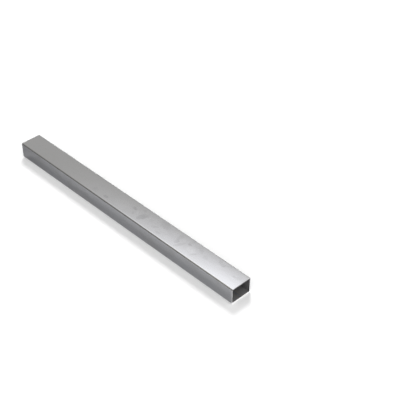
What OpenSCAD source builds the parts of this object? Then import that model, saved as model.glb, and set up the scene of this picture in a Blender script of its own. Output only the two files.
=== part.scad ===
// Rectangular profile tube: steel strip bent to a box section, welded along one
// seam and sawn square to length. All sizes are in millimetres.
// The tube lies on its wide bottom wall, along X, and the origin is on the floor
// under its middle.

/* [Section] */
// Outside width, across the wide top and bottom walls
tube_width = 40; // [25:1:100]
// Outside height, as the tube lies
tube_height = 30; // [20:1:80]
// Thickness of the wall
wall = 2; // [1:0.1:3]
// Outside radius of the four bends
bend_radius = 2.5; // [2:0.1:6]

/* [Length] */
// Length from one saw cut to the other
tube_length = 530; // [100:5:6000]

/* [Weld seam] */
// Width of the weld bead left along the inside of the bottom wall
bead_width = 2.4; // [1.6:0.1:4]
// Height of the bead above the inner face
bead_height = 0.6; // [0.2:0.1:0.8]
// Distance of the seam from the middle of the wall, towards +Y
seam_shift = 0; // [-4:0.5:4]

/* [Saw cuts] */
// Width of the chamfer that deburring leaves on the outer and inner edge of each cut
deburr = 0.25; // [0.1:0.05:0.4]

/* [Hidden] */
mill_steel = [0.60, 0.60, 0.61];
$fn = 64;

// Strip can't be bent sharper than this on the inside of a bend
least_inner_radius = 0.4;
inner_radius = max(bend_radius - wall, least_inner_radius);
bore_width = tube_width - 2 * wall;
bore_height = tube_height - 2 * wall;
// How far the cut for the bore runs past each end of the tube
overcut = 1;

// A round bar along X with both ends coned: smaller at the ends for a positive
// chamfer, and larger for a negative one, which is a flare.
module coned_bar(length, radius, end_chamfer) {
    cone = abs(end_chamfer);
    shank = length - 2 * cone;
    rotate([0, 90, 0]) {
        cylinder(h = shank, r = radius, center = true);
        for (side = [0, 1])
            mirror([0, 0, side])
                translate([0, 0, shank / 2])
                    cylinder(h = cone, r1 = radius, r2 = radius - end_chamfer);
    }
}

// The outline of a bar seen from its side, with the same chamfer or flare at each end.
module coned_outline(length, depth, end_chamfer) {
    shank = length / 2 - abs(end_chamfer);
    flank = depth / 2;
    end = flank - end_chamfer;
    polygon([
        [-length / 2, -end], [-shank, -flank], [shank, -flank], [length / 2, -end],
        [length / 2, end], [shank, flank], [-shank, flank], [-length / 2, end]
    ]);
}

// A box bar along X with four rounded long edges and both ends chamfered or flared.
module box_bar(length, width, height, radius, end_chamfer) {
    flat_width = width - 2 * radius;
    flat_height = height - 2 * radius;
    for (y = [-1, 1], z = [-1, 1])
        translate([0, y * flat_width / 2, z * flat_height / 2])
            coned_bar(length, radius, end_chamfer);
    rotate([90, 0, 0])
        linear_extrude(height = flat_width, center = true)
            coned_outline(length, height, end_chamfer);
    linear_extrude(height = flat_height, center = true)
        coned_outline(length, width, end_chamfer);
}

// The round crown of the weld bead. Only the part above the inner face shows.
module weld_bead() {
    crown_radius = (pow(bead_width / 2, 2) + pow(bead_height, 2)) / (2 * bead_height);
    translate([0, seam_shift, bead_height - bore_height / 2 - crown_radius])
        rotate([0, 90, 0])
            cylinder(h = tube_length + 4 * overcut, r = crown_radius, center = true);
}

// The clear space inside the tube, with the edges of its two mouths chamfered.
module bore() {
    difference() {
        box_bar(tube_length + 2 * overcut, bore_width, bore_height, inner_radius,
            -(deburr + overcut));
        weld_bead();
    }
}

module profile_tube() {
    color(mill_steel)
        translate([0, 0, tube_height / 2])
            difference() {
                box_bar(tube_length, tube_width, tube_height, bend_radius, deburr);
                bore();
            }
}

profile_tube();
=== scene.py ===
import math

import bmesh
import bpy
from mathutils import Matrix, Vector


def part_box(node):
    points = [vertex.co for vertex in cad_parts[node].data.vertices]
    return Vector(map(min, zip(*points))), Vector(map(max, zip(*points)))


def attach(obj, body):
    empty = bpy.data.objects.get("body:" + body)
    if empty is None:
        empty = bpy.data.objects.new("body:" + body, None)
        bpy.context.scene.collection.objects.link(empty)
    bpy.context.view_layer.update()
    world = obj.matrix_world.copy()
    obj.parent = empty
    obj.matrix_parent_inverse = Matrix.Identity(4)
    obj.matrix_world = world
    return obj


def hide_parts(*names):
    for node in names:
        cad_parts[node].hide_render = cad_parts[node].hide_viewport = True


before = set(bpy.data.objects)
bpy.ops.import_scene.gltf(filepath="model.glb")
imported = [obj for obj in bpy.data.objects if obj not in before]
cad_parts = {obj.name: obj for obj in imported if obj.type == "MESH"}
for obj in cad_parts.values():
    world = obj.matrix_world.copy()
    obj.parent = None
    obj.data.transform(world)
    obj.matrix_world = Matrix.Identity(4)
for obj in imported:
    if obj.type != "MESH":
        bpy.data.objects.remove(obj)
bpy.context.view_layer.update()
tubeLow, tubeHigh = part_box("profile_tube")
mm = 0.001

# The tube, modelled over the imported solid

tubeShape = {
    "wall": 2 * mm,
    "bend": 2.5 * mm,
    "bendSteps": 10,
    "deburr": 0.25 * mm,
    "crown": 0.083 * mm,         # how far the top wall's edges lie below its middle
    "rowGap": 3.4 * mm,          # between the rows of edges along the walls
    "edgeStrip": 0.15 * mm,      # narrow strip beside each bend and cut that keeps the shading flat
    "sliceCuts": (11, 8),        # two rounds of cuts across the length
    "shortSlice": 2 * mm,        # the second round leaves edges alone that are shorter
    "beadWidth": 2.4 * mm,
    "beadHeight": 0.6 * mm,
    "beadRows": (0, 0.35, 0.65, 0.87, 1),  # shares of half the bead's width
    "beadWobble": 0.12 * mm,
    "beadSeed": 4,
    "smoothAngle": 30,           # degrees past which an edge stays sharp
}
tolerance = 0.01 * mm            # places closer than this count as the same


def deselectAll():
    if bpy.context.mode != "OBJECT":
        bpy.ops.object.mode_set(mode="OBJECT")
    bpy.ops.object.select_all(action="DESELECT")


def pick(kind, wanted):
    # in edit mode, selects the vertices, edges or faces that pass the test, and nothing else
    bpy.ops.mesh.select_mode(type=kind)
    bpy.ops.mesh.select_all(action="DESELECT")
    mesh = bmesh.from_edit_mesh(bpy.context.object.data)
    items = {"VERT": mesh.verts, "EDGE": mesh.edges, "FACE": mesh.faces}[kind]
    for item in items:
        if wanted(item):
            item.select = True
    mesh.select_flush_mode()
    bmesh.update_edit_mesh(bpy.context.object.data)


def runsAlong(edge, axis, shortest):
    # True for an edge parallel to an axis and longer than shortest
    way = edge.verts[1].co - edge.verts[0].co
    return abs(way[axis]) > max(0.999 * way.length, shortest)


def cutAt(axis, place):
    normal = [0, 0, 0]
    normal[axis] = 1
    point = [0, 0, 0]
    point[axis] = place
    bpy.ops.mesh.select_all(action="SELECT")
    bpy.ops.mesh.bisect(plane_co=point, plane_no=normal)


def evenRows(low, high, gap):
    steps = max(1, round((high - low) / gap))
    return [low + (high - low) * k / steps for k in range(1, steps)]


def wallRows(low, high):
    # where the lengthwise edges of a wall lie: a strip beside each bend, and even rows between
    shape = tubeShape
    inner = low + shape["bend"] + shape["edgeStrip"]
    outer = high - shape["bend"] - shape["edgeStrip"]
    return [inner] + evenRows(inner, outer, shape["rowGap"]) + [outer]


def crownDrop(place):
    # how far a point of the top wall sinks, from nothing at the middle and at the foot of the bends,
    # rounded so that a whole row sinks alike
    middle = (tubeLow.y + tubeHigh.y) / 2
    flatHalf = (tubeHigh.y - tubeLow.y) / 2 - tubeShape["bend"]
    share = min(1, abs(place.y - middle) / flatHalf)
    fade = max(0, 1 - (tubeHigh.z - place.z) / tubeShape["bend"])
    return round(tubeShape["crown"] * share ** 2 * fade, 8)


def beadCrown(share):
    # height of the bead's round crown at a share of half its width
    half = tubeShape["beadWidth"] / 2
    height = tubeShape["beadHeight"]
    radius = (half ** 2 + height ** 2) / (2 * height)
    return math.sqrt(radius ** 2 - (share * half) ** 2) - (radius - height)


def makeTube():
    shape = tubeShape
    size = tubeHigh - tubeLow
    middle = (tubeLow + tubeHigh) / 2
    start = (tubeLow.x, middle.y, middle.z)
    deselectAll()
    bpy.ops.mesh.primitive_plane_add(size=1, location=start, rotation=(0, math.pi / 2, 0))
    tube = bpy.context.object
    tube.name = "dressed_tube"
    tube.data.name = "dressed_tube"
    bpy.ops.object.transform_apply(location=True, rotation=True, scale=True)
    bpy.ops.object.mode_set(mode="EDIT")
    bpy.ops.transform.resize(value=(1, size.y, size.z), center_override=start)
    # the section: four bends, then the wall's thickness
    bpy.ops.mesh.bevel(offset=shape["bend"], segments=shape["bendSteps"], affect="VERTICES")
    bpy.ops.mesh.select_all(action="SELECT")
    bpy.ops.mesh.inset(thickness=shape["wall"], use_even_offset=True)
    bpy.ops.mesh.delete(type="FACE")
    bpy.ops.mesh.select_all(action="SELECT")
    bpy.ops.mesh.extrude_region_move(TRANSFORM_OT_translate={"value": (size.x, 0, 0)})
    bpy.ops.mesh.select_all(action="SELECT")
    bpy.ops.mesh.normals_make_consistent(inside=False)
    # deburred edges round both cuts, outside and at the mouth
    ends = (tubeLow.x, tubeHigh.x)

    def isRim(edge):
        # on a cut, between its flat face and a wall
        onCut = any(all(abs(vertex.co.x - end) < tolerance for vertex in edge.verts) for end in ends)
        return onCut and len({abs(face.normal.x) > 0.5 for face in edge.link_faces}) == 2

    pick("EDGE", isRim)
    bpy.ops.mesh.bevel(offset=shape["deburr"], segments=2, affect="EDGES")
    for row in wallRows(tubeLow.z, tubeHigh.z):
        cutAt(2, row)
    for row in wallRows(tubeLow.y, tubeHigh.y):
        cutAt(1, row)
    # the crown of the top wall, row by row
    mesh = bmesh.from_edit_mesh(tube.data)
    for drop in sorted({crownDrop(vertex.co) for vertex in mesh.verts} - {0}):
        pick("VERT", lambda vertex: crownDrop(vertex.co) == drop)
        bpy.ops.transform.translate(value=(0, 0, -drop))
    # the weld bead inside the bottom wall
    seam = middle.y
    half = shape["beadWidth"] / 2
    for share in shape["beadRows"]:
        for side in {-1, 1} if share else {1}:
            cutAt(1, seam + side * share * half)
    floorOfBore = tubeLow.z + shape["wall"]
    lowest = floorOfBore - shape["deburr"] - tolerance

    def isBeadRow(vertex, share):
        # on the floor of the bore or on the chamfer at its mouth, at a share of half the bead's width
        across = abs(abs(vertex.co.y - seam) - share * half) < tolerance
        return across and lowest < vertex.co.z < floorOfBore + tolerance

    for share in shape["beadRows"][:-1]:
        pick("VERT", lambda vertex: isBeadRow(vertex, share))
        bpy.ops.transform.translate(value=(0, 0, beadCrown(share)))
    # slices across the length, after a narrow strip beside each cut
    for end, way in zip(ends, (1, -1)):
        cutAt(0, end + way * (shape["deburr"] + shape["edgeStrip"]))
    for cuts, shortest in zip(shape["sliceCuts"], (size.x / 2, shape["shortSlice"])):
        pick("EDGE", lambda edge: runsAlong(edge, 0, shortest))
        bpy.ops.mesh.subdivide(number_cuts=cuts)

    def isBeadTop(vertex):
        # the crown of the bead, clear of its two edges and of both mouths
        inBore = abs(vertex.co.x - middle.x) < size.x / 2 - 2 * shape["wall"]
        return inBore and abs(vertex.co.y - seam) < 0.9 * half and 0 < vertex.co.z - floorOfBore < half

    pick("VERT", isBeadTop)
    bpy.ops.transform.vertex_random(offset=shape["beadWobble"], seed=shape["beadSeed"])
    bpy.ops.object.mode_set(mode="OBJECT")
    bpy.ops.object.shade_smooth_by_angle(angle=math.radians(shape["smoothAngle"]))
    print("tube:", len(tube.data.vertices), "vertices,", len(tube.data.polygons), "faces")
    return tube


tube = makeTube()
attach(tube, "root")
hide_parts("profile_tube")


# Materials

class Signal:
    # a node socket whose sums and products are Math nodes
    def __init__(self, tree, socket=None):
        self.tree = tree
        self.socket = socket

    def node(self, kind, settings, values, output=0):
        made = self.tree.nodes.new(kind)
        for name, value in settings.items():
            setattr(made, name, value)
        for name, value in values.items():
            if isinstance(value, Signal):
                self.tree.links.new(value.socket, made.inputs[name])
            else:
                made.inputs[name].default_value = value
        return Signal(self.tree, made.outputs[output])

    def math(self, operation, first, second=0.0):
        return self.node("ShaderNodeMath", {"operation": operation}, {0: first, 1: second})

    def __add__(self, other):
        return self.math("ADD", self, other)

    def __radd__(self, other):
        return self.math("ADD", other, self)

    def __sub__(self, other):
        return self.math("SUBTRACT", self, other)

    def __rsub__(self, other):
        return self.math("SUBTRACT", other, self)

    def __mul__(self, other):
        return self.math("MULTIPLY", self, other)

    def __rmul__(self, other):
        return self.math("MULTIPLY", other, self)

    def __truediv__(self, other):
        return self.math("DIVIDE", self, other)

    def __pow__(self, other):
        return self.math("POWER", self, other)

    def size(self):
        return self.math("ABSOLUTE", self)

    def wave(self):
        return self.math("SINE", self)

    def larger(self, other):
        return self.math("MAXIMUM", self, other)

    def smaller(self, other):
        return self.math("MINIMUM", self, other)

    def step(self, low, high):
        # 0 below low, 1 above high, and smooth between
        values = {"Value": self, "From Min": low, "From Max": high}
        return self.node("ShaderNodeMapRange", {"interpolation_type": "SMOOTHSTEP"}, values)

    def between(self, low, high):
        # the signal's 0 to 1 spread from low to high
        return low + self * (high - low)

    def mix(self, first, second):
        # first colour at 0, second at 1
        return self.node("ShaderNodeMix", {"data_type": "RGBA"}, {"Factor": self, 6: first, 7: second}, 2)

    def feed(self, shader, name):
        self.tree.links.new(self.socket, shader.inputs[name])


def newMaterial(name):
    material = bpy.data.materials.new(name)
    material.use_nodes = True
    tree = material.node_tree
    return material, Signal(tree), tree.nodes["Principled BSDF"]


def scaled(signal, vector, factor):
    # a place or a colour times one number
    return signal.node("ShaderNodeVectorMath", {"operation": "SCALE"}, {0: vector, "Scale": factor})


def placeInMillimetres(signal):
    return scaled(signal, signal.node("ShaderNodeTexCoord", {}, {}, "Object"), 1 / mm)


def parts(signal, place):
    return [signal.node("ShaderNodeSeparateXYZ", {}, {0: place}, axis) for axis in "XYZ"]


def stretch(signal, place, factors):
    return signal.node("ShaderNodeVectorMath", {"operation": "MULTIPLY"}, {0: place, 1: factors})


def shift(signal, place, by):
    return signal.node("ShaderNodeVectorMath", {"operation": "ADD"}, {0: place, 1: by})


def reach(signal, place):
    return signal.node("ShaderNodeVectorMath", {"operation": "LENGTH"}, {0: place}, "Value")


def along(signal, way, direction):
    values = {0: way, 1: direction}
    return signal.node("ShaderNodeVectorMath", {"operation": "DOT_PRODUCT"}, values, "Value")


def cloud(signal, place, size, detail=3.0, roughness=0.5, distortion=0.0):
    # noise whose patches are about size millimetres across
    values = {"Vector": place, "Scale": 1 / size, "Detail": detail}
    values.update({"Roughness": roughness, "Distortion": distortion})
    return signal.node("ShaderNodeTexNoise", {}, values)


def bump(signal, height):
    # the height is in millimetres
    return signal.node("ShaderNodeBump", {}, {"Strength": 1.0, "Distance": mm, "Height": height})


wallHalf = (tubeHigh - tubeLow) / (2 * mm)       # half the tube's size, in millimetres
wallMiddle = (tubeHigh + tubeLow) / (2 * mm)

millFinish = {
    # lengths are in millimetres, and a stretch under 1 draws a pattern out along that axis
    "steel": (0.304, 0.304, 0.306, 1),
    "smudged": (0.288, 0.287, 0.284, 1),
    "roughness": (0.178, 0.205),            # clean, smudged
    "topPaintedLight": 1.05,                       # painted light: the top wall is brighter by this factor
    "topPolish": 0.44,                      # and smoother by this share
    "topClean": 0.7,                        # and has fewer smudges by this share
    "topDepth": (1.0, 0.5),                 # depths below its face between which that begins
    "upperBlend": 2,                        # distance from half height within which lower turns to upper
    "paintedBendShade": (0.228, 0.219, 0.200, 1),   # painted shade: the upper bends, darker and olive-brown, at the +X end
    "paintedFarBendShade": (0.153, 0.147, 0.135, 1),  # and darker still from the middle to the -X end
    "tintEnd": 0.94,                        # share of the half length at which the +X end's bend shade is full
    "bendReach": (0.25, 0.85),              # shares of the bend's radius between which it begins
    "paintedEdgeLight": (0.94, 1.15),              # painted shade and highlight beside the upper bends: factors at the -X end and the +X end
    "edgeReach": (-0.3, 0.4),               # distances into the bend between which that begins
    "paintedLowBendLight": (0.62, 0.62, 0.615, 1),     # painted light: the two lower bends, lighter, for the bright floor they reflect
    "lowBendReach": (-0.8, 1.3),
    "smudgeSize": 30.0,
    "smudgeStretch": (0.7, 1, 1),
    "smudgeEdge": (0.47, 0.66),
    "smudgeOffset": (12.0, 31.0, 5.0),
    "streak": 0.025,                        # how much the lengthwise draw lines darken
    "streakSize": 0.9,
    "streakStretch": (0.012, 1, 1),
    "streakHeight": 0.0001,
    "grain": 0.02,
    "grainSize": 0.45,
    "grainStretch": (0.5, 1, 1),
    "waveSize": 24.0,
    "waveStretch": (0.6, 1, 1),
    "waveHeight": 0.015,                    # unevenness over that distance
    "seamWidth": 3.2,                       # scarfed strip over the weld, on the underside
    "seamEdge": (0.42, 0.55),               # shares of that width, from its middle, between which it ends
    "seamHeight": (0.5, 1.0),
    "seamShade": 0.25,
    "seamRough": 0.12,
    "markShade": 0.15,
    "markEdge": (0.5, 1.2),                 # shares of a mark's half size between which it ends
    "markRagged": 0.8,                      # how far that strays at most, in the same shares
    "raggedSize": 6.0,
    "unevenSize": 8.0,                      # patches within the marks
    "unevenEdge": (0.35, 0.65),
    "unevenMarks": (0.6, 1.3),              # factors of a mark's strength in them
    # handling marks on the top wall: x, y, length, width, turn in degrees, strength
    "marks": (
        (-70, -11, 15, 12, 0, 0.3),
        (-40, -11, 13, 7, 0, 0.7),
        (18, 3.5, 14, 6.5, 0, 0.9),
        (24, -7, 8, 5, -45, 0.5),
        (35, 11, 8, 7, 0, 0.45),
        (43, -2, 25, 13, 68, 0.85),
        (60, 1, 12, 8, 60, 0.2),
        (75, -5, 14, 6, 30, 0.5),
        (86, 10, 27, 15, -8, 0.6),
        (89, -11, 12, 6, 0, 0.5),
        (124, 8, 22, 9, 95, 0.6),
        (126, -3, 12, 8, 95, 0.95),
        (135, -6, 18, 7, 60, 0.5),
        (146, 12, 14, 9, 90, 0.4),
        (147, 5.5, 9, 6, 0, 0.8),
        (163, 12, 18, 9, 0, 0.35),
        (171, 8, 11, 8, -35, 0.65),
        (167, -6, 17, 5, 50, 0.5),
        (186, 2, 12, 8, -30, 0.35),
        (210, 12, 12, 8, -20, 0.5),
        (217, 9, 12, 7, 0, 0.85),
        (227, 14, 16, 6, 20, 0.4),
        (247, 3, 8, 5, 0, 0.4),
        (255, 6, 14, 8, 30, 0.35),
    ),
    "cleanShade": 0.06,
    # lighter places between them, in the same terms
    "clean": (
        (-4, -3, 36, 24, 0, 0.4),
        (28, 0, 16, 5, -50, 0.7),
        (54, 2, 12, 5, 75, 0.5),
        (63, 7, 13, 10, 0, 0.4),
        (93, 0, 24, 8, 0, 0.45),
        (113, 8, 13, 13, 0, 0.55),
        (110, -8, 14, 10, 0, 0.35),
        (134, 6, 6, 9, 0, 0.5),
        (156, -1, 25, 13, -15, 1.0),
        (214, 2, 20, 6, 0, 0.4),
        (246, -1, 11, 3, 0, 0.6),
    ),
}


def topPatches(signal, place, patches):
    # each patch's strength inside it, 0 away from them all
    finish = millFinish
    ragged = (cloud(signal, place, finish["raggedSize"], roughness=0.6) - 0.5) * (2 * finish["markRagged"])
    covered = 0.0
    for x, y, length, width, turn, strength in patches:
        cosine = math.cos(math.radians(turn))
        sine = math.sin(math.radians(turn))
        centred = shift(signal, place, (-x, -y, 0))
        lengthwise = along(signal, centred, (2 * cosine / length, 2 * sine / length, 0))
        sideways = along(signal, centred, (-2 * sine / width, 2 * cosine / width, 0))
        outward = (lengthwise ** 2 + sideways ** 2) ** 0.5
        mark = 1 - (outward + ragged).step(*finish["markEdge"])
        covered = (mark * strength).larger(covered)
    return covered


def makeMillSteel():
    finish = millFinish
    material, signal, surface = newMaterial("millSteel")
    place = placeInMillimetres(signal)
    x, y, z = parts(signal, place)
    across = (y - wallMiddle.y).size()
    up = (z - wallMiddle.z).size()
    bendRadius = tubeShape["bend"] / mm
    intoBend = (across - (wallHalf.y - bendRadius)).smaller(up - (wallHalf.z - bendRadius))
    bend = intoBend.step(*(share * bendRadius for share in finish["bendReach"]))
    onTop = z.step(*(tubeHigh.z / mm - depth for depth in finish["topDepth"]))
    upper = z.step(wallMiddle.z - finish["upperBlend"], wallMiddle.z + finish["upperBlend"])
    # smudges, handling marks, draw lines and grain
    moved = shift(signal, place, finish["smudgeOffset"])
    smudgePlace = stretch(signal, moved, finish["smudgeStretch"])
    smudge = cloud(signal, smudgePlace, finish["smudgeSize"], detail=5.0, roughness=0.6, distortion=1.1)
    smudge = smudge.step(*finish["smudgeEdge"]) * (1 - onTop * finish["topClean"])
    uneven = cloud(signal, place, finish["unevenSize"], detail=4.0, roughness=0.65)
    uneven = uneven.step(*finish["unevenEdge"]).between(*finish["unevenMarks"])
    marks = topPatches(signal, place, finish["marks"]) * uneven
    clean = topPatches(signal, place, finish["clean"])
    handled = (marks * finish["markShade"] - clean * finish["cleanShade"]) * onTop
    streakPlace = stretch(signal, place, finish["streakStretch"])
    streaks = cloud(signal, streakPlace, finish["streakSize"], detail=2.0)
    grain = cloud(signal, stretch(signal, place, finish["grainStretch"]), finish["grainSize"], detail=1.0)
    # the strip over the weld, and the painted shade and highlight of the upper bends along the tube
    underside = 1 - z.step(*finish["seamHeight"])
    seam = underside * (1 - across.step(*(share * finish["seamWidth"] for share in finish["seamEdge"])))
    alongTube = x.step(wallMiddle.x, wallMiddle.x + finish["tintEnd"] * wallHalf.x)
    # painted shade towards the -X end and painted highlight at the +X end, beside the upper bends
    edge = intoBend.step(*finish["edgeReach"]) * upper
    shade = 1 - streaks * finish["streak"] - grain * finish["grain"] - handled + seam * finish["seamShade"]
    # painted light: the top wall brighter than the others
    shade = shade * onTop.between(1.0, finish["topPaintedLight"])
    shade = shade * (edge * (alongTube.between(*finish["paintedEdgeLight"]) - 1) + 1)
    # painted shade on the upper bends, darker towards the -X end
    bendShadeColour = alongTube.mix(finish["paintedFarBendShade"], finish["paintedBendShade"])
    colour = (bend * upper).mix(smudge.mix(finish["steel"], finish["smudged"]), bendShadeColour)
    # painted light on the two lower bends
    lowBendLight = intoBend.step(*finish["lowBendReach"]) * (1 - upper)
    colour = lowBendLight.mix(colour, finish["paintedLowBendLight"])
    scaled(signal, colour, shade).feed(surface, "Base Color")
    polish = 1 - onTop * finish["topPolish"]
    roughness = smudge.between(*finish["roughness"]) * polish + seam * finish["seamRough"]
    roughness.feed(surface, "Roughness")
    wave = cloud(signal, stretch(signal, moved, finish["waveStretch"]), finish["waveSize"], detail=2.0)
    bump(signal, wave * finish["waveHeight"] + streaks * finish["streakHeight"]).feed(surface, "Normal")
    surface.inputs["Metallic"].default_value = 1.0
    return material


boreFinish = {
    "dull": (0.208, 0.208, 0.210, 1),
    "scale": (0.172, 0.171, 0.170, 1),
    "patchSize": 9.0,
    "patchStretch": (0.25, 1, 1),
    "patchEdge": (0.4, 0.7),
    "patchHeight": 0.02,
    "patchRough": 0.12,
    "roughness": 0.5,
    "metallic": 0.2,
    "streakSize": 1.1,                   # lengthwise lines
    "streakStretch": (0.015, 1, 1),
    "streakShade": 0.12,
    "streakHeight": 0.01,
    "straw": (0.203, 0.193, 0.177, 1),   # heat tint beside the weld
    "blue": (0.168, 0.175, 0.188, 1),
    "tintReach": (2.75, 5.5),            # distances from the weld between which the tint ends
    "tintHeight": (4.0, 6.0),            # and heights
    "tintChange": (1.4, 3.2),            # distances between which blue turns to straw
    "tintWander": 1.5,
    "sidePaintedShade": 0.34,                    # painted shade: the side walls are darker than the bottom
    "sideEdge": 1.5,                     # over this distance
    "mouthPaintedShade": 0.30,                   # painted shade too, low down beside each mouth, by this much more
    "mouthDepth": (4, 1.5),              # distances from the cut between which that begins
    "mouthHeight": (2.0, 18.0),          # heights between which it ends
    "rippleGap": 1.6,                    # ripples of the weld bead
    "rippleBow": 0.8,
    "rippleHeight": 0.05,
    "rippleTop": (3.2, 3.6),             # heights, above the bead, between which they end
    "rippleEdge": 0.85,                  # share of half the bead's width at which they begin to end
}


def makeBoreSteel():
    finish = boreFinish
    material, signal, surface = newMaterial("boreSteel")
    place = placeInMillimetres(signal)
    x, y, z = parts(signal, place)
    across = (y - wallMiddle.y).size()
    patchPlace = stretch(signal, place, finish["patchStretch"])
    patches = cloud(signal, patchPlace, finish["patchSize"], detail=4.0, roughness=0.6)
    patches = patches.step(*finish["patchEdge"])
    streakPlace = stretch(signal, place, finish["streakStretch"])
    streaks = cloud(signal, streakPlace, finish["streakSize"], detail=2.0)
    nearWeld = (1 - z.step(*finish["tintHeight"])) * (1 - across.step(*finish["tintReach"]))
    heat = (across + (streaks - 0.5) * finish["tintWander"]).step(*finish["tintChange"])
    heat = heat.mix(finish["blue"], finish["straw"])
    colour = nearWeld.mix(patches.mix(finish["dull"], finish["scale"]), heat)
    # painted shade: dark side walls, darker still at the foot of each mouth
    boreSide = wallHalf.y - tubeShape["wall"] / mm
    atMouth = (x - wallMiddle.x).size().step(*(wallHalf.x - depth for depth in finish["mouthDepth"]))
    atMouth = atMouth * (1 - z.step(*finish["mouthHeight"]))
    onSide = across.step(boreSide - finish["sideEdge"], boreSide)
    dark = onSide * (atMouth * finish["mouthPaintedShade"] + finish["sidePaintedShade"])
    scaled(signal, colour, 1 - dark - streaks * finish["streakShade"]).feed(surface, "Base Color")
    # ripples along the weld bead
    beadHalf = tubeShape["beadWidth"] / (2 * mm)
    besideBead = across.step(finish["rippleEdge"] * beadHalf, beadHalf)
    onBead = (1 - z.step(*finish["rippleTop"])) * (1 - besideBead)
    bowed = x + across * finish["rippleBow"]
    ripple = (bowed * (2 * math.pi / finish["rippleGap"])).wave() * onBead
    relief = ripple * finish["rippleHeight"] + patches * finish["patchHeight"]
    bump(signal, relief + streaks * finish["streakHeight"]).feed(surface, "Normal")
    (patches * finish["patchRough"] + finish["roughness"]).feed(surface, "Roughness")
    surface.inputs["Metallic"].default_value = finish["metallic"]
    return material


sawFinish = {
    "bright": (0.44, 0.44, 0.435, 1),
    "scored": (0.36, 0.36, 0.355, 1),
    "rimHighlight": (0.95, 0.95, 0.95, 1),
    "metallic": (0.55, 0.2),         # sawn, rim highlight
    "roughness": (0.34, 0.46),
    "patchSize": 4.0,
    "patchEdge": (0.4, 0.7),
    "bladeCentre": (-95.0, -120.0),  # across and up, where the saw's arcs are centred, in millimetres
    "toothGap": 0.55,
    "toothWander": 0.5,
    "wanderSize": 2.5,
    "scoreHeight": 0.004,
    "innerRimReach": (0.25, 1.0),          # millimetres from the bore between which the darker rim ends
    "innerRimShade": 0.45,
    "innerRimFront": 0.85,               # how much further that reaches on the front side
    "innerRimPower": 1.6,                # how much more strongly it darkens there
    "frontPaintedLight": 1.7,              # and, as painted light, by what share the whole front side is brighter
    "sideEdge": (-0.7, 0.2),         # millimetres past the bore's side between which a side begins
    "lowEdge": (-0.1, 0.6),          # millimetres above the bottom wall between which the painted rim highlight ends
    "rimLightFade": 1.3,              # how fast it fades up the rear side
}


def makeSawnSteel():
    finish = sawFinish
    material, signal, surface = newMaterial("sawnSteel")
    place = placeInMillimetres(signal)
    y, z = parts(signal, place)[1:]
    # arcs round the middle of the blade
    across, up = finish["bladeCentre"]
    fromBlade = shift(signal, stretch(signal, place, (0, 1, 1)), (0, -across, -up))
    ragged = cloud(signal, place, finish["wanderSize"]) * finish["toothWander"]
    score = ((reach(signal, fromBlade) + ragged) * (2 * math.pi / finish["toothGap"])).wave()
    score = score.between(0.5, 1.0)      # the wave's -1 to 1 becomes 0 to 1
    patches = cloud(signal, place, finish["patchSize"]).step(*finish["patchEdge"])
    sawn = (score * 0.5 + patches * 0.5).mix(finish["scored"], finish["bright"])
    # the wall darkens towards the mouth, more on the front side
    wall = tubeShape["wall"] / mm
    boreSide = wallHalf.y - wall
    sideEdge = [boreSide + past for past in finish["sideEdge"]]
    fromMouth = ((y - wallMiddle.y).size() - boreSide).larger(z - (2 * wallHalf.z - wall))
    front = (wallMiddle.y - y).step(*sideEdge)
    innerRim = (fromMouth - front * finish["innerRimFront"]).step(*finish["innerRimReach"])
    innerRim = innerRim.between(finish["innerRimShade"], 1.0) ** (front * finish["innerRimPower"] + 1)
    # painted light: the front side of each cut brighter
    sawn = scaled(signal, sawn, innerRim * (front * finish["frontPaintedLight"] + 1))
    # painted highlight: the cut of the bottom wall near white, and the rear side too, fading upwards
    low = 1 - (z - front).step(*(wall + above for above in finish["lowEdge"]))
    height = (z / (2 * wallHalf.z - wall)).smaller(1.0)
    rear = (y - wallMiddle.y).step(*sideEdge) * (1 - height) ** finish["rimLightFade"]
    rimLight = low.larger(rear)
    rimLight.mix(sawn, finish["rimHighlight"]).feed(surface, "Base Color")
    rimLight.between(*finish["metallic"]).feed(surface, "Metallic")
    score.between(*finish["roughness"]).feed(surface, "Roughness")
    bump(signal, score * finish["scoreHeight"]).feed(surface, "Normal")
    return material


def isInside(face):
    # True in the bore and on the chamfers round its two mouths
    place = face.calc_center_median() / mm - wallMiddle
    rim = (tubeShape["wall"] - tubeShape["deburr"]) / mm
    return abs(place.y) < wallHalf.y - rim and abs(place.z) < wallHalf.z - rim


def isCutFace(face):
    # the sawn faces, the half of each outer chamfer beside them, and both chamfers of the bottom wall:
    # facing is 1 on a sawn face, and about 0.92 and 0.38 on the two halves of a chamfer
    facing = abs(face.normal.x)
    low = face.calc_center_median().z < tubeLow.z + 1.2 * tubeShape["wall"]
    return facing > 0.98 or facing > 0.3 and low or facing > 0.6 and not isInside(face)


def isBoreFace(face):
    return isInside(face) and not isCutFace(face)


def dressTube():
    deselectAll()
    bpy.context.view_layer.objects.active = tube
    tube.select_set(True)
    for material in (makeMillSteel(), makeBoreSteel(), makeSawnSteel()):
        tube.data.materials.append(material)
    bpy.ops.object.mode_set(mode="EDIT")
    for slot, wanted in ((1, isBoreFace), (2, isCutFace)):
        pick("FACE", wanted)
        tube.active_material_index = slot
        bpy.ops.object.material_slot_assign()
    bpy.ops.object.mode_set(mode="OBJECT")
    print("materials:", ", ".join(material.name for material in tube.data.materials))


dressTube()


# Floor, light and camera

def lightPath(signal, ray):
    return signal.node("ShaderNodeLightPath", {}, {}, ray)


floorSetup = {
    "size": 12.0,
    "drop": 0.05 * mm,                   # keeps it clear of the tube's underside
    "white": (0.97, 0.97, 0.97, 1),
    "plainBeyond": (600.0, 1200.0),      # millimetres from the middle between which it fades to plain white
    "mirrored": (0.945, 0.955, 0.99),    # painted reflection: the floor as the steel mirrors it, bluish, near the tube's mouth
    "dimReach": (-290.0, 230.0),         # painted shade: millimetres along x between which that grows from dim to full
    "dimLeast": 0.02,                    # share of that stretch below which it gets no dimmer
    "dimPower": 0.16,
    "roughness": 0.30,
    "gloss": 0.1,
}


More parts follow.
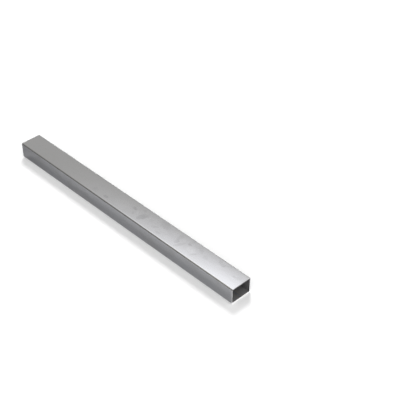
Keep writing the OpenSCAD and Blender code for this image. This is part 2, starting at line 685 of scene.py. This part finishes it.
def makeFloor():
    setup = floorSetup
    deselectAll()
    bpy.ops.mesh.primitive_plane_add(size=setup["size"], location=(0, 0, tubeLow.z - setup["drop"]))
    floor = bpy.context.object
    floor.name = "studio_floor"
    bpy.ops.object.transform_apply(location=True)
    material, signal, surface = newMaterial("studioFloor")
    place = placeInMillimetres(signal)
    x = parts(signal, place)[0]
    # painted shade in the steel's reflections: for glossy rays only, the floor dims towards the -X end
    far, near = setup["dimReach"]
    share = ((x - far) / (near - far)).larger(setup["dimLeast"]).smaller(1.0)
    mirrored = scaled(signal, setup["mirrored"], share ** setup["dimPower"])
    lightPath(signal, "Is Glossy Ray").mix(setup["white"], mirrored).feed(surface, "Base Color")
    surface.inputs["Roughness"].default_value = setup["roughness"]
    surface.inputs["Specular IOR Level"].default_value = setup["gloss"]
    # away from the tube the camera sees it plain white, as far as the horizon
    plain = reach(signal, place).step(*setup["plainBeyond"]) * lightPath(signal, "Is Camera Ray")
    glow = signal.node("ShaderNodeEmission", {}, {"Color": (1, 1, 1, 1), "Strength": 1.0})
    shaded = Signal(signal.tree, surface.outputs["BSDF"])
    output = signal.tree.nodes["Material Output"]
    signal.node("ShaderNodeMixShader", {}, {0: plain, 1: shaded, 2: glow}).feed(output, "Surface")
    floor.data.materials.append(material)
    print("floor:", setup["size"], "m square")


cameraSetup = {
    "eye": (0.9848, -0.7767, 1.0297),
    "aim": (0.0649, 0.1184, 0.0),
    "lens": 84.84,
    "reach": 60.0,
}


def makeCamera():
    data = bpy.data.cameras.new("camera")
    data.lens = cameraSetup["lens"]
    data.clip_end = cameraSetup["reach"]
    camera = bpy.data.objects.new("camera", data)
    bpy.context.scene.collection.objects.link(camera)
    eye = Vector(cameraSetup["eye"])
    camera.location = eye
    camera.rotation_euler = (Vector(cameraSetup["aim"]) - eye).to_track_quat("-Z", "Y").to_euler()
    bpy.context.scene.camera = camera
    print("camera: lens", cameraSetup["lens"])


# azimuths turn from straight back towards the tube's far end
softboxSetup = {
    "azimuth": 36.6,
    "elevation": 61.7,
    "distance": 6.0,
    "roll": -24.5,
    "width": 6.17,
    "height": 4.18,
    "radiance": 12.6,
    "brightest": 0.175,              # share of that at which its middle levels off
    "colour": (0.925, 0.94, 1.0),
}
keySetup = {
    "azimuth": 45.9,
    "elevation": 50.3,
    "distance": 6.0,
    "roll": -38.4,                   # one side is square to the tube
    "width": 1.57,
    "height": 1.65,
    "radiance": 21.7,
    "colour": (1.0, 1.0, 1.0),
}


def makeLamp(name, setup, mirrored):
    # the steel mirrors the softbox, and the key lamp casts the shadow
    data = bpy.data.lights.new(name, "AREA")
    data.shape = "RECTANGLE"
    data.size = setup["width"]
    data.size_y = setup["height"]
    data.color = setup["colour"]
    data.energy = math.pi * setup["radiance"] * setup["width"] * setup["height"]
    lamp = bpy.data.objects.new(name, data)
    bpy.context.scene.collection.objects.link(lamp)
    turn = math.radians(setup["azimuth"])
    rise = math.radians(setup["elevation"])
    way = Vector((-math.sin(turn) * math.cos(rise), math.cos(turn) * math.cos(rise), math.sin(rise)))
    lamp.location = way * setup["distance"]
    lamp.rotation_euler = (-way).to_track_quat("-Z", "Y").to_euler()
    lamp.rotation_euler.rotate_axis("Z", math.radians(setup["roll"]))
    lamp.visible_camera = False
    lamp.visible_glossy = mirrored
    lamp.visible_diffuse = not mirrored
    if mirrored:
        featherLamp(data, setup["brightest"])
    print(name + ":", round(data.energy), "W")


def featherLamp(data, brightest):
    # nothing at the lamp's edges, brighter inwards, and level where it reaches its brightest
    data.use_nodes = True
    signal = Signal(data.node_tree)
    fade = 1.0
    for share in parts(signal, signal.node("ShaderNodeNewGeometry", {}, {}, "Parametric"))[:2]:
        fade = (1 - (share * 2 - 1).size().step(0.0, 1.0)) * fade
    shown = scaled(signal, (1.0, 1.0, 1.0), fade.smaller(brightest))
    shown.feed(data.node_tree.nodes["Emission"], "Color")


worldSetup = {
    "white": (1.0, 1.0, 1.0, 1),
    "room": (1.0, 0.991, 0.972, 1),         # the room as the steel mirrors it
    "darkSide": (0.13, 0.12, 0.105, 1),     # its unlit side, low on the front left
    "darkWay": (-0.62, -0.78, 0.0),
    "darkShare": (0.70, 0.85),              # how closely a ray follows it, between which the dark begins
    "darkHeight": (0.15, 0.48),             # height of a ray between which it ends
    "ambient": 0.77,
    "openWay": (0.80, -0.60, 0.0),          # more light comes from this side
    "openness": 1.16,
}


def makeWorld():
    setup = worldSetup
    world = bpy.data.worlds.new("studio")
    bpy.context.scene.world = world
    world.use_nodes = True
    tree = world.node_tree
    tree.nodes.clear()
    signal = Signal(tree)
    way = signal.node("ShaderNodeTexCoord", {}, {}, "Generated")
    rise = parts(signal, way)[2]
    mirrored = lightPath(signal, "Is Glossy Ray")
    seen = mirrored
    for ray in ("Is Camera Ray", "Is Transmission Ray"):
        seen = seen.larger(lightPath(signal, ray))
    dark = along(signal, way, setup["darkWay"]).step(*setup["darkShare"])
    dark = dark * (1 - rise.step(*setup["darkHeight"])) * mirrored
    colour = dark.mix(mirrored.mix(setup["white"], setup["room"]), setup["darkSide"])
    light = (along(signal, way, setup["openWay"]) * setup["openness"] + setup["ambient"]).larger(0.0)
    shown = scaled(signal, colour, light + seen * (1 - light))
    background = signal.node("ShaderNodeBackground", {}, {"Color": shown, "Strength": 1.0})
    output = tree.nodes.new("ShaderNodeOutputWorld")
    background.feed(output, "Surface")
    print("world: white, with a dark side for reflections")


makeFloor()
makeCamera()
makeLamp("softbox", softboxSetup, True)
makeLamp("keyLamp", keySetup, False)
makeWorld()
bpy.context.scene.view_settings.view_transform = "Standard"
